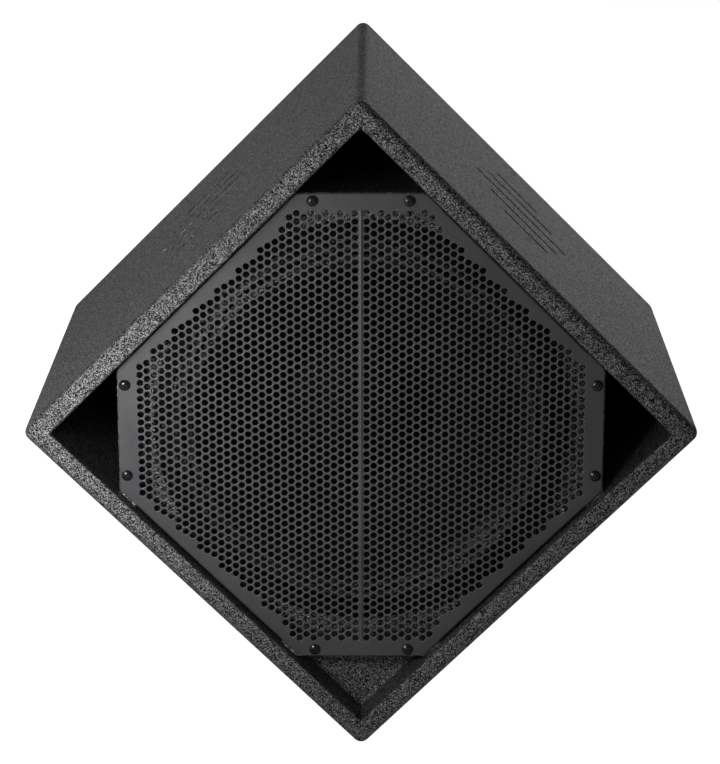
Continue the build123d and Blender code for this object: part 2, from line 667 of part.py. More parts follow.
def feet():
    names = ("foot_left_front", "foot_left_rear", "foot_right_front", "foot_right_rear")
    floor_z = -HALF - FOOT_HEIGHT
    recess = 5.0
    body = Pos(0, 0, floor_z + FOOT_HEIGHT / 2) * Cone(FOOT_R - 1.5, FOOT_R, FOOT_HEIGHT)
    body = fillet(body.edges().group_by(Axis.Z)[0], 1.2)
    body -= Pos(0, 0, floor_z + recess / 2) * Cylinder(6.5, recess)
    body -= Pos(0, 0, floor_z + FOOT_HEIGHT / 2) * Cylinder(2.4, FOOT_HEIGHT + 2)
    washer = Pos(0, 0, floor_z + recess - 0.5) * (Cylinder(6.0, 1.0) - Cylinder(2.4, 2.0))
    screw = Pos(0, 0, floor_z + recess - 1) * Rot(X=90) * pan_screw(4.3, 2.4, 2.2, 15.0, 3.8)
    for name, (x, y) in zip(names, foot_places()):
        save(name, Pos(x, y, 0) * body)
    save("foot_washers", group(Pos(x, y, 0) * washer for x, y in foot_places()))
    save("foot_screws", group(Pos(x, y, 0) * screw for x, y in foot_places()))


cabinet_panels()
baffle_and_boards()
wadding()
save("grille", grille())
grille_screws()
driver()
rear_connections()
feet()
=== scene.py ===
import json
import math

import bmesh
import bpy
import numpy as np
from mathutils import Matrix, Vector, geometry, noise


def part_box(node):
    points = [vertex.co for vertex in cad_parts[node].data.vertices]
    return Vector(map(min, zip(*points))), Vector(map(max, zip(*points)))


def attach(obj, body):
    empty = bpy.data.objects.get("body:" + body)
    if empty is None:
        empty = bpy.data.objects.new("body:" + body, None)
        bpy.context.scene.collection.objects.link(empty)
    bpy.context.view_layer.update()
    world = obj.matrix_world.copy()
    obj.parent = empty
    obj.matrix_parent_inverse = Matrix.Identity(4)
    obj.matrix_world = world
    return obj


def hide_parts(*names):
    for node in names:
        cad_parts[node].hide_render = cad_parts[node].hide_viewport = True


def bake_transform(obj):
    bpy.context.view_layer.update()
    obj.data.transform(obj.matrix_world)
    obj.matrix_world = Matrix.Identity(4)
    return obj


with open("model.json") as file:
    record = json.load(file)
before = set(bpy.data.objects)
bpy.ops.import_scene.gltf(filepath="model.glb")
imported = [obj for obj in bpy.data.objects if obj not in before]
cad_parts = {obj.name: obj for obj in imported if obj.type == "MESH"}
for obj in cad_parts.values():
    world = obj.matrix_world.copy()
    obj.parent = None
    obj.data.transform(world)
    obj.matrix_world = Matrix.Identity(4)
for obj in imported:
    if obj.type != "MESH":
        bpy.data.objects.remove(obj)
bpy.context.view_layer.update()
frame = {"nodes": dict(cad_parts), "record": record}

# Looks of a cube-form stage monitor, in metres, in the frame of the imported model:
# the open front faces -Y, the connection plate faces +Y, and the floor is at z = 0.
MM = 0.001

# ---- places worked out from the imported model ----
SHELL_LOW, SHELL_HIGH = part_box("top_panel")
FRONT_Y = SHELL_LOW.y
CENTRE = Vector((0.0, 0.0, (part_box("bottom_panel")[0].z + SHELL_HIGH.z) / 2))
INNER_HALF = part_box("rear_panel")[1].x
BAFFLE_FRONT_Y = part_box("baffle")[0].y
RIM_FRONT_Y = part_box("driver_basket")[0].y

# ---- camera ----
CAMERA_OFFSET = Vector((-0.5440, -2.4267, 0.5644))     # from the middle of the front face
CAMERA_YAW, CAMERA_PITCH, CAMERA_ROLL = 0.0059, -0.2933, 0.0005
CABINET_LEAN = math.radians(-45)             # the picture shows the cabinet turned onto one corner
LENS, SENSOR = 127.06, 36.0
LENS_SHIFT = (-0.0013, 0.0018)

# ---- driver outlines: radius and distance behind the front face ----
LIP_R, ROLL_OUT_R, ROLL_MID_R, ROLL_IN_R, SURROUND_IN_R = 183.4, 180.0, 169.3, 158.9, 152.5
ROLL_HEIGHT, CLOTH, ROLL_STEPS, SURROUND_SEGMENTS = 5.0, 0.8, 16, 240
SPIDER_IN_R, SPIDER_OUT_R, SPIDER_CLOTH, SPIDER_SEGMENTS = 50.5, 100.0, 0.7, 144
SPIDER_COLLAR, SPIDER_RIM = 4.0, 9.0         # flat glued bands at its inner and outer edge
SPIDER_WAVES, SPIDER_WAVE_HEIGHT, STEPS_PER_WAVE = 4, 2.4, 24

# ---- grille sheet, in mm: the long edges lie along the walls, the short edges face the corners ----
GRILLE_SHORT, GRILLE_LONG, GRILLE_CORNER_R = 230.6, 206.0, 9.0
SHEET, BEND_R, FLANGE_DEPTH, FLANGE_LENGTH = 1.5, 2.2, 12.0, 196.0
HOLE_R, HOLE_RIM, HOLE_SIDES, RIM_STEPS = 3.25, 0.32, 18, 2
SHEET_EDGE_R, SHEET_EDGE_STEPS, CORNER_STEPS, BEND_STEPS, RIB_STEPS = 1.3, 3, 6, 12, 12
ROW_PITCH, FIRST_COLUMN, COLUMNS, TOP_ROW, FULL_COLUMNS = 7.84, 5.35, 31, 27, 10
COLUMN_PITCH = ROW_PITCH * math.sqrt(3) / 2
STAIR_SLOPE, STAIR_LIMIT = 2.5 * ROW_PITCH / (3 * COLUMN_PITCH), 267.5
SCREW_OFFSET, SCREW_RADIUS, SCREW_HOLE_R = 45.0, 223.5, 2.4
RIB_WIDTH, RIB_HEIGHT, RIB_HALF_LENGTH = 3.6, 0.8, TOP_ROW * ROW_PITCH + 3
GRILLE_DEPTH = (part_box("grille")[0].y - FRONT_Y) / MM + RIB_HEIGHT

# ---- leads, in mm from the middle of the front face: first the cone's end, last the terminals' ----
LEAD_PATH = (
    (0, 92.6, -74.0), (0, 102.5, -82.0), (0, 104.0, -108.0), (0, 108.0, -129.0), (0, 123.5, -129.0),
)
LEAD_ACROSS, LEAD_RADIUS, LEAD_BEND, LEAD_BEND_STEPS, LEAD_SIDES = 8.0, 0.9, 5.0, 8, 12

# ---- engraved slots in the top and left panels, in mm ----
SLOT_LENGTHS, SLOT_WIDTH, SLOT_DEPTH, SLOT_PITCH = (62.0, 96.0, 130.0, 96.0, 62.0), 7.0, 2.6, 42.0
# the second value is the thickness of the near-black sheet laid on the slot floors as painted shade
MOTIF_DEPTH, SLOT_SHADE_SHEET, SLOT_PLAY, SLOT_END_STEPS = 235.0, 0.12, 0.05, 12

# ---- wadding ----
WADDING_GRID = 0.0045        # spacing of its surface points, in metres
WADDING_LUMPS = 42.0         # lumps per metre
WADDING_TAPER = 7.0          # grid rows over which it thins towards its edges
WADDING_THIN, WADDING_CROWN, WADDING_SWELL = 0.06, 0.74, 0.18   # height at the edge, added inside, lumps

# ---- coat ----
GRAIN_SCALE = 1250.0         # pebbles per metre
BEAD_R, BEAD_LENGTH, BEAD_RINGS, BEAD_SIDES = 2.6, 150, 150, 10
BEAD_SWELL, BEAD_RIPPLE = (0.35, 210.0), (0.10, 520.0)   # share of its radius, and noise scale
BEAD_HOLLOW = 0.28           # how far its face curves in

# ---- studio ----
FLOOR_R, FLOOR_SIDES = 14.0, 96
LAMPS = {
    # name: (place, aimed at, width, height, watts, spread in degrees)
    "key": ((-0.75, -1.10, 0.10), (-0.22, -0.23, 0.08), 0.4, 0.4, 1.92, 180),
    "low_key": ((-0.45, -0.80, 0.06), (-0.22, -0.23, 0.03), 0.2, 0.1, 1.92, 90),
    "side_fill": ((-1.00, -0.60, 0.10), (-0.22, -0.23, 0.08), 0.4, 0.4, 0.96, 180),
    "back": ((0.35, 1.80, 0.90), (0.0, 0.0, 0.45), 1.2, 0.8, 2.22, 180),
    "left_back": ((-1.20, 1.60, 0.50), (-0.2, 0.0, 0.20), 1.0, 0.8, 0.93, 180),
    "front_low": ((0.35, -1.70, 0.12), (0.0, -0.23, 0.236), 0.9, 0.2, 0.45, 180),
    "right_front": ((1.60, -1.60, 0.80), (0.1, -0.2, 0.25), 1.0, 1.0, 0.78, 180),
}
BACKDROP_LIGHT, BACKDROP_WHITE = 0.132, 1.0   # as it lights the cabinet, and as the camera sees it
FLOOR_LIGHT, FLOOR_WHITE = 0.188, 1.0


# ---- camera, floor and light ----
def add_camera():
    """Camera at the picture's viewing angle, rolled so that the cabinet stands on its corner."""
    turn = Matrix.Rotation(CAMERA_YAW, 3, "Z") @ Matrix.Rotation(CAMERA_PITCH, 3, "X")
    turn = turn @ Matrix.Rotation(CAMERA_ROLL, 3, "Y")
    right, forward, up = (Matrix.Rotation(CABINET_LEAN, 3, "Y") @ turn).col
    axes = Matrix((right, up, -forward)).transposed()
    data = bpy.data.cameras.new("camera")
    data.lens, data.sensor_width = LENS, SENSOR
    data.shift_x, data.shift_y = LENS_SHIFT
    camera = bpy.data.objects.new("camera", data)
    place = Vector((CENTRE.x, FRONT_Y, CENTRE.z)) + CAMERA_OFFSET
    camera.matrix_world = Matrix.Translation(place) @ axes.to_4x4()
    bpy.context.scene.collection.objects.link(camera)
    bpy.context.scene.camera = camera


def add_lamp(name, place, aim, width, height, watts, spread):
    data = bpy.data.lights.new(name, "AREA")
    data.shape, data.size, data.size_y = "RECTANGLE", width, height
    data.energy, data.spread = watts, math.radians(spread)
    lamp = bpy.data.objects.new(name, data)
    lamp.location = place
    lamp.rotation_euler = (Vector(place) - Vector(aim)).to_track_quat("Z", "Y").to_euler()
    lamp.visible_camera = False
    bpy.context.scene.collection.objects.link(lamp)


def seen_or_lit(tree, socket, seen, lit):
    """Gives the backdrop one strength as the camera sees it, and another as it lights the cabinet."""
    share = tree.nodes.new("ShaderNodeMapRange")
    tree.links.new(tree.nodes.new("ShaderNodeLightPath").outputs["Is Camera Ray"], share.inputs["Value"])
    share.inputs["To Min"].default_value = lit
    share.inputs["To Max"].default_value = seen
    tree.links.new(share.outputs[0], socket)


def add_studio():
    bpy.context.scene.view_settings.view_transform = "Standard"
    world = bpy.data.worlds.new("studio")
    world.use_nodes = True
    backdrop = world.node_tree.nodes["Background"].inputs
    backdrop["Color"].default_value = (1.0, 1.0, 1.0, 1.0)
    seen_or_lit(world.node_tree, backdrop["Strength"], BACKDROP_WHITE, BACKDROP_LIGHT)
    bpy.context.scene.world = world
    for name, values in LAMPS.items():
        add_lamp(name, *values)
    turns = [math.tau * k / FLOOR_SIDES for k in range(FLOOR_SIDES)]
    around = [(FLOOR_R * math.cos(turn), FLOOR_R * math.sin(turn), 0.0) for turn in turns]
    floor = mesh_object("floor", around, [list(range(FLOOR_SIDES))])
    floor.data.materials.append(floor_paint())


# ---- mesh helpers ----
def mesh_object(name, points, faces, smooth=False):
    mesh = bpy.data.meshes.new(name)
    mesh.from_pydata([tuple(p) for p in points], [], faces)
    mesh.validate()
    mesh.update()
    mesh.polygons.foreach_set("use_smooth", [smooth] * len(mesh.polygons))
    piece = bpy.data.objects.new(name, mesh)
    bpy.context.scene.collection.objects.link(piece)
    return piece


def turned_piece(name, outline, segments):
    """Closed outline of (radius, depth behind the front face) in mm, turned about the driver's axis."""
    points, faces, count = [], [], len(outline)
    for step in range(segments):
        angle = math.tau * step / segments
        for radius, depth in outline:
            points.append((CENTRE.x + radius * MM * math.cos(angle), FRONT_Y + depth * MM,
                           CENTRE.z + radius * MM * math.sin(angle)))
    for step in range(segments):
        here, there = step * count, (step + 1) % segments * count
        for k in range(count):
            after = (k + 1) % count
            faces.append((here + k, here + after, there + after, there + k))
    piece = mesh_object(name, points, faces, smooth=True)
    outward(piece)
    return piece


def outward(piece):
    """Turns every face of a closed mesh to the outside."""
    shape = bmesh.new()
    shape.from_mesh(piece.data)
    bmesh.ops.recalc_face_normals(shape, faces=shape.faces)
    shape.to_mesh(piece.data)
    shape.free()


# ---- material helpers ----
class Surface:
    """Node material round one Principled shader; its patterns use the piece's own place, in metres."""

    def __init__(self, name, roughness, metallic=0.0, specular=0.5):
        self.material = bpy.data.materials.new(name)
        self.material.use_nodes = True
        self.tree = self.material.node_tree
        self.shader = self.tree.nodes["Principled BSDF"]
        self.set("Roughness", roughness)
        self.set("Metallic", metallic)
        self.set("Specular IOR Level", specular)
        self.place = self.tree.nodes.new("ShaderNodeTexCoord").outputs["Object"]

    def set(self, socket, value):
        """Sets a socket of the shader, to a value, a colour or a node's output."""
        self.feed(self.shader.inputs[socket], value)

    def feed(self, socket, value):
        if isinstance(value, bpy.types.NodeSocket):
            self.tree.links.new(value, socket)
        elif isinstance(value, tuple) and len(value) == 3 and socket.type == "RGBA":
            socket.default_value = (*value, 1.0)
        else:
            socket.default_value = value

    def node(self, kind, result=0, options=None, **inputs):
        node = self.tree.nodes.new("ShaderNode" + kind)
        for option, value in (options or {}).items():
            setattr(node, option, value)
        for socket, value in inputs.items():
            self.feed(node.inputs[socket.replace("_", " ")], value)
        return node.outputs[result]

    def stretched(self, x, y, z):
        return self.node("Mapping", Vector=self.place, Scale=(x, y, z))

    def noise(self, scale, detail=3.0, rough=0.55, place=None):
        return self.node("TexNoise", Vector=place or self.place, Scale=scale, Detail=detail,
                         Roughness=rough)

    def cells(self, scale, feature="F1"):
        return self.node("TexVoronoi", 0, {"feature": feature}, Vector=self.place, Scale=scale)

    def flecks(self, scale):
        """One chance tone for each grain."""
        return self.node("TexVoronoi", 1, {"feature": "F1"}, Vector=self.place, Scale=scale)

    def waves(self, scale, distortion, direction):
        return self.node("TexWave", 1, {"bands_direction": direction}, Vector=self.place, Scale=scale,
                         Distortion=distortion)

    def span(self, value, low, high, to_low, to_high):
        """Maps low..high to to_low..to_high, clamped."""
        found = self.tree.nodes.new("ShaderNodeMapRange")
        self.feed(found.inputs["Value"], value)
        numbers = {"From Min": low, "From Max": high, "To Min": to_low, "To Max": to_high}
        for socket, number in numbers.items():
            found.inputs[socket].default_value = number
        return found.outputs[0]

    def math(self, operation, first, second=0.0):
        found = self.tree.nodes.new("ShaderNodeMath")
        found.operation = operation
        self.feed(found.inputs[0], first)
        self.feed(found.inputs[1], second)
        return found.outputs[0]

    def mix(self, share, first, second):
        """Colour mix of first and second."""
        found = self.tree.nodes.new("ShaderNodeMix")
        found.data_type = "RGBA"
        self.feed(found.inputs["Factor"], share)
        self.feed(found.inputs[6], first)
        self.feed(found.inputs[7], second)
        return found.outputs[2]

    def bump(self, height, distance, strength=1.0, under=None):
        found = self.tree.nodes.new("ShaderNodeBump")
        self.feed(found.inputs["Height"], height)
        found.inputs["Distance"].default_value = distance
        found.inputs["Strength"].default_value = strength
        if under:
            self.feed(found.inputs["Normal"], under)
        return found.outputs[0]

    def tint(self, pattern, low, high, dark, light):
        """Colours the shader from dark to light as the pattern rises from low to high."""
        self.set("Base Color", self.mix(self.span(pattern, low, high, 0.0, 1.0), dark, light))


# ---- materials ----
def floor_paint():
    made = Surface("floor_paint", 0.9, specular=0.1)
    tone = made.span(made.noise(3.0), 0.3, 0.7, 0.90, 0.93)
    made.set("Base Color", made.mix(tone, (0.0, 0.0, 0.0), (1.0, 1.0, 1.0)))
    made.set("Emission Color", (1.0, 1.0, 1.0))
    seen_or_lit(made.tree, made.shader.inputs["Emission Strength"], FLOOR_WHITE, FLOOR_LIGHT)
    return made.material


def grained_coat():
    """Sprayed black polyurea: hard pebbled grain, each pebble tilted on its own facet; its colour runs by
    chance from near-black to grey, a painted highlight on the lighter raised pebbles and painted shade in
    the dark pits.
    """
    made = Surface("grained_coat", 0.45)
    fleck = made.span(made.flecks(GRAIN_SCALE), 0.28, 0.76, 0.0, 1.0)
    pebbles = made.cells(GRAIN_SCALE)
    fine = made.noise(2300.0, 2.0, 0.5)
    patches = made.noise(9.0, 4.0, 0.6)
    height = made.math("ADD", made.math("MULTIPLY", fleck, 0.5), made.math("MULTIPLY", pebbles, -0.7))
    made.set("Normal", made.bump(fine, 0.00008, 0.6, made.bump(height, 0.0007)))
    # painted highlight and shade: a chance share per pebble lifts its colour from near-black to grey, with
    # more shine, so lit facets and dark pits show in the colour itself
    painted_glint_and_shine = made.math("POWER", fleck, 2.5)
    tone = made.mix(painted_glint_and_shine, (0.0004, 0.0004, 0.0005), (0.040, 0.040, 0.047))
    worn = made.span(patches, 0.35, 0.75, 0.0, 0.15)
    made.set("Base Color", made.mix(worn, tone, (0.009, 0.009, 0.010)))
    made.set("Specular IOR Level", made.span(painted_glint_and_shine, 0.0, 1.0, 0.10, 4.20))
    made.set("Roughness", made.span(painted_glint_and_shine, 0.0, 1.0, 0.52, 0.34))
    return made.material


def powder_coat(name="powder_coat", tone=0.031, roughness=0.42):
    """Satin powder coat: faint orange peel, and dust-fine tone changes."""
    made = Surface(name, roughness)
    peel = made.noise(750.0, 2.0, 0.5)
    cloud = made.noise(14.0, 4.0, 0.6)
    made.set("Normal", made.bump(peel, 0.00012, 0.8))
    dark, light = (tone * 0.85, tone * 0.85, tone * 0.92), (tone * 1.25, tone * 1.25, tone * 1.32)
    made.tint(cloud, 0.3, 0.7, dark, light)
    sheen = made.noise(60.0)
    made.set("Roughness", made.span(sheen, 0.3, 0.7, roughness - 0.05, roughness + 0.07))
    return made.material


def slot_painted_shade():
    """Near-black matt sheet in the engraved slots: painted shade for their floors."""
    made = Surface("slot_painted_shade", 0.9, specular=0.05)
    grain = made.noise(700.0, 2.0, 0.6)
    made.set("Normal", made.bump(grain, 0.0003, 0.8))
    made.tint(grain, 0.35, 0.65, (0.0010, 0.0010, 0.0012), (0.004, 0.004, 0.005))
    return made.material


def rim_painted_highlight():
    """The same coat, painted about three times lighter and a little shinier on the rounded rim of each
    punched hole: a painted highlight.
    """
    return powder_coat("rim_painted_highlight", 0.090, 0.34)


def plate_paint():
    return powder_coat("plate_paint", 0.028, 0.36)


def bare_plywood():
    """Birch ply: long figure in the faces, darker lines in the pores."""
    made = Surface("bare_plywood", 0.62)
    figure = made.noise(18.0, 5.0, 0.6, made.stretched(1.0, 0.12, 1.0))
    pores = made.noise(240.0, 3.0, 0.6, made.stretched(1.0, 0.06, 1.0))
    tone = made.mix(made.span(figure, 0.3, 0.7, 0.0, 1.0), (0.52, 0.36, 0.21), (0.70, 0.53, 0.34))
    made.set("Base Color", made.mix(made.span(pores, 0.52, 0.62, 0.0, 0.35), tone, (0.33, 0.21, 0.12)))
    made.set("Normal", made.bump(pores, 0.00015, 0.7))
    return made.material


def fibre_wadding():
    made = Surface("fibre_wadding", 0.95, specular=0.15)
    strands = made.noise(900.0, 4.0, 0.75, made.stretched(1.0, 0.25, 0.6))
    clumps = made.noise(45.0, 4.0, 0.6)
    tone = made.mix(made.span(clumps, 0.3, 0.7, 0.0, 1.0), (0.40, 0.41, 0.42), (0.62, 0.63, 0.63))
    made.set("Base Color", made.mix(made.span(strands, 0.5, 0.7, 0.0, 0.4), tone, (0.80, 0.80, 0.79)))
    made.set("Normal", made.bump(strands, 0.0012, 0.9, made.bump(clumps, 0.004)))
    made.set("Sheen Weight", 0.4)
    return made.material


def black_screw():
    made = Surface("black_screw", 0.2, specular=0.35)
    worn = made.noise(500.0, 3.0, 0.6)
    made.tint(worn, 0.55, 0.75, (0.004, 0.004, 0.005), (0.012, 0.012, 0.013))
    made.set("Roughness", made.span(worn, 0.3, 0.7, 0.16, 0.26))
    made.set("Normal", made.bump(made.noise(1500.0), 0.00004, 0.8))
    return made.material


def cast_basket():
    made = Surface("cast_basket", 0.5, specular=0.15)
    sand = made.noise(620.0, 3.0, 0.65)
    made.set("Normal", made.bump(sand, 0.0003, 0.9))
    # near-black: the black casting tinted darker still, as painted shade of the driver behind the grille
    made.tint(made.noise(25.0, 4.0), 0.3, 0.7, (0.002, 0.002, 0.003), (0.006, 0.006, 0.007))
    made.set("Roughness", made.span(sand, 0.3, 0.7, 0.42, 0.60))
    return made.material


def gasket_cork():
    made = Surface("gasket_cork", 0.85, specular=0.08)
    grains = made.cells(700.0)
    # near-black and neutral instead of cork brown: painted shade of the driver behind the grille
    made.tint(grains, 0.0, 0.6, (0.001, 0.001, 0.001), (0.004, 0.004, 0.004))
    made.set("Normal", made.bump(grains, 0.0004, 0.9))
    return made.material


def foam_seal():
    made = Surface("foam_seal", 0.9, specular=0.25)
    pores = made.cells(1100.0, "SMOOTH_F1")
    made.tint(pores, 0.1, 0.6, (0.008, 0.008, 0.009), (0.035, 0.035, 0.037))
    made.set("Normal", made.bump(pores, 0.0005, 1.0))
    return made.material


def weave(made, pitch, distance):
    """Threads running both ways across the cloth; pitch is close to their spacing, in metres."""
    scale = 1.0 / pitch / math.pi * 1.6
    across, along = (made.waves(scale, 0.3, direction) for direction in "XZ")
    threads = made.math("MAXIMUM", across, along)
    made.set("Normal", made.bump(threads, distance, 0.9))
    return threads


def surround_cloth():
    """Woven cloth edge, sealed with a tacky black dope."""
    made = Surface("surround_cloth", 0.32, specular=0.5)
    threads = weave(made, 0.0012, 0.00025)
    dope = made.noise(110.0, 4.0, 0.6)
    # black cloth tinted darker still: painted shade of the driver behind the grille
    made.set("Base Color", made.mix(threads, (0.001, 0.001, 0.001), (0.003, 0.003, 0.003)))
    made.set("Roughness", made.span(dope, 0.35, 0.65, 0.17, 0.24))
    return made.material


def pressed_paper(name, dark, light, scale):
    """Pressed pulp: short fibres, felted, with a light coat."""
    made = Surface(name, 0.70, specular=0.06)
    fibres = made.noise(scale, 5.0, 0.7, made.stretched(1.0, 1.0, 0.35))
    felt = made.noise(scale * 0.12, 4.0, 0.6)
    made.tint(fibres, 0.35, 0.65, dark, light)
    made.set("Normal", made.bump(fibres, 0.00035, 0.9, made.bump(felt, 0.0006, 0.6)))
    made.set("Roughness", made.span(felt, 0.3, 0.7, 0.62, 0.82))
    return made.material


def cone_paper():
    # near-black: the black paper tinted darker still, as painted shade of the driver behind the grille
    return pressed_paper("cone_paper", (0.0012, 0.0012, 0.0014), (0.0035, 0.0035, 0.0040), 900.0)


def cap_paper():
    # near-black: the black paper tinted darker still, as painted shade of the driver behind the grille
    return pressed_paper("cap_paper", (0.0012, 0.0012, 0.0014), (0.0030, 0.0030, 0.0034), 1200.0)


def former_film():
    made = Surface("former_film", 0.25)
    bands = made.noise(30.0, 3.0, 0.5)
    made.tint(bands, 0.3, 0.7, (0.55, 0.26, 0.04), (0.70, 0.38, 0.08))
    made.set("Coat Weight", 0.5)
    made.set("Normal", made.bump(made.noise(400.0), 0.00004))
    return made.material


def copper_winding():
    made = Surface("copper_winding", 0.28, metallic=1.0)
    turns = made.waves(1.0 / 0.0006 / math.pi, 0.0, "Y")
    made.set("Base Color", made.mix(turns, (0.36, 0.14, 0.06), (0.85, 0.42, 0.22)))
    made.set("Normal", made.bump(turns, 0.0002, 0.9))
    return made.material


def spider_cloth():
    made = Surface("spider_cloth", 0.75, specular=0.3)
    threads = weave(made, 0.0009, 0.0002)
    made.set("Base Color", made.mix(threads, (0.42, 0.30, 0.12), (0.66, 0.50, 0.24)))
    return made.material


def plated_steel():
    made = Surface("plated_steel", 0.32, metallic=1.0)
    bloom = made.noise(160.0, 4.0, 0.6)
    made.tint(bloom, 0.3, 0.7, (0.50, 0.51, 0.50), (0.68, 0.68, 0.66))
    made.set("Roughness", made.span(bloom, 0.3, 0.7, 0.25, 0.45))
    made.set("Normal", made.bump(made.noise(900.0), 0.00005))
    return made.material


def ferrite():
    made = Surface("ferrite", 0.55)
    pits = made.noise(520.0, 4.0, 0.7)
    made.tint(pits, 0.3, 0.7, (0.022, 0.022, 0.023), (0.055, 0.054, 0.053))
    made.set("Normal", made.bump(pits, 0.0002, 0.8))
    return made.material


def black_plastic():
    """Glass-filled nylon: a fine moulded grain."""
    made = Surface("black_plastic", 0.42)
    grain = made.noise(1400.0, 3.0, 0.6)
    made.tint(grain, 0.3, 0.7, (0.014, 0.014, 0.015), (0.026, 0.026, 0.028))
    made.set("Normal", made.bump(grain, 0.0001, 0.9))
    made.set("Roughness", made.span(made.noise(90.0), 0.3, 0.7, 0.36, 0.52))
    return made.material


def brass():
    made = Surface("brass", 0.25, metallic=1.0)
    dull = made.noise(220.0, 4.0, 0.6)
    made.tint(dull, 0.3, 0.7, (0.62, 0.42, 0.16), (0.86, 0.64, 0.30))
    made.set("Roughness", made.span(dull, 0.3, 0.7, 0.2, 0.4))
    return made.material


def braided_copper():
    made = Surface("braided_copper", 0.35, metallic=1.0)
    strands = made.noise(2600.0, 2.0, 0.5, made.stretched(1.0, 0.4, 1.0))
    made.set("Base Color", made.mix(strands, (0.45, 0.22, 0.12), (0.92, 0.60, 0.42)))
    made.set("Normal", made.bump(strands, 0.0003, 1.0))
    return made.material


def insulation(name, dark, light):
    made = Surface(name, 0.40)
    made.tint(made.noise(70.0), 0.3, 0.7, dark, light)
    made.set("Normal", made.bump(made.noise(800.0), 0.00006))
    return made.material


def wire_red():
    return insulation("wire_red", (0.36, 0.015, 0.012), (0.50, 0.025, 0.020))


def wire_black():
    return insulation("wire_black", (0.012, 0.012, 0.012), (0.026, 0.026, 0.027))


def foot_rubber():
    made = Surface("foot_rubber", 0.72, specular=0.35)
    bloom = made.noise(55.0, 4.0, 0.6)
    made.tint(bloom, 0.35, 0.7, (0.012, 0.012, 0.012), (0.032, 0.032, 0.032))
    made.set("Normal", made.bump(made.noise(700.0, 3.0), 0.00015, 0.8))
    made.set("Roughness", made.span(bloom, 0.3, 0.7, 0.62, 0.82))
    return made.material


FINISHES = {
    "coated_plywood": grained_coat, "bare_plywood": bare_plywood, "wadding": fibre_wadding,
    "grille_paint": powder_coat, "rim_painted_highlight": rim_painted_highlight, "slot_painted_shade": slot_painted_shade,
    "black_screw": black_screw, "cast_basket": cast_basket,
    "gasket_cork": gasket_cork, "foam_seal": foam_seal, "surround_cloth": surround_cloth,
    "cone_paper": cone_paper, "cap_paper": cap_paper, "former_film": former_film,
    "copper_winding": copper_winding, "spider_cloth": spider_cloth, "zinc_steel": plated_steel,
    "ferrite": ferrite, "black_plastic": black_plastic, "brass": brass, "braided_copper": braided_copper,
    "plate_paint": plate_paint, "wire_red": wire_red, "wire_black": wire_black, "foot_rubber": foot_rubber,
}


def make_finishes():
    return {slot: make() for slot, make in FINISHES.items()}


def dress_cad_nodes(finishes):
    for subpart in frame["record"]["subparts"]:
        node = frame["nodes"][subpart["node"]]
        for slot in node.material_slots:
            slot.material = finishes[subpart["material_slot"]]


# ---- pieces made here ----
def finished(piece, slot, finishes):
    piece.data.materials.append(finishes[slot])
    return piece


def arch(start_r, end_r, foot, height, steps):
    """Points of a circular arch between two radii, its crest `height` in front of its feet."""
    half = abs(end_r - start_r) / 2
    radius = (half ** 2 + height ** 2) / (2 * height)
    middle = (start_r + end_r) / 2
    reach = math.pi - math.asin(half / radius) if height > half else math.asin(half / radius)
    side = 1 if end_r > start_r else -1
    for k in range(steps + 1):
        angle = reach * (2 * k / steps - 1)
        yield middle + side * radius * math.sin(angle), foot - height + radius - radius * math.cos(angle)


def follow_cone(piece):
    """Bakes the piece's transform into its mesh."""
    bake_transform(piece)


def add_surround(finishes):
    """Double half-roll edge of doped cloth, with its flat glue lips."""
    depth = (RIM_FRONT_Y - FRONT_Y) / MM
    front = [(LIP_R, depth - CLOTH)]
    front += arch(ROLL_OUT_R, ROLL_MID_R, depth - CLOTH, ROLL_HEIGHT, ROLL_STEPS)
    front += list(arch(ROLL_MID_R, ROLL_IN_R, depth - CLOTH, ROLL_HEIGHT, ROLL_STEPS))[1:]
    front.append((SURROUND_IN_R, depth - CLOTH))
    back = [(SURROUND_IN_R, depth)]
    back += arch(ROLL_IN_R + CLOTH, ROLL_MID_R - CLOTH, depth, ROLL_HEIGHT, ROLL_STEPS)
    back += arch(ROLL_MID_R + CLOTH, ROLL_OUT_R - CLOTH, depth, ROLL_HEIGHT, ROLL_STEPS)
    back.append((LIP_R, depth))
    piece = turned_piece("surround_edge", front + back, SURROUND_SEGMENTS)
    finished(piece, "surround_cloth", finishes)
    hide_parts("surround")
    follow_cone(piece)


def add_spider(finishes):
    """Corrugated centring disc behind the cone."""
    middle = (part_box("spider")[0].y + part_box("spider")[1].y) / 2
    depth = (middle - FRONT_Y) / MM - SPIDER_CLOTH / 2
    first, last = SPIDER_IN_R + SPIDER_COLLAR, SPIDER_OUT_R - SPIDER_RIM
    steps = STEPS_PER_WAVE * SPIDER_WAVES
    line = [(SPIDER_IN_R, depth)]
    for k in range(steps + 1):
        height = SPIDER_WAVE_HEIGHT * math.sin(math.tau * SPIDER_WAVES * k / steps)
        line.append((first + (last - first) * k / steps, depth + height))
    line.append((SPIDER_OUT_R, depth))
    back = [(radius, d + SPIDER_CLOTH) for radius, d in reversed(line)]
    piece = turned_piece("spider_disc", line + back, SPIDER_SEGMENTS)
    finished(piece, "spider_cloth", finishes)
    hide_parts("spider")
    follow_cone(piece)


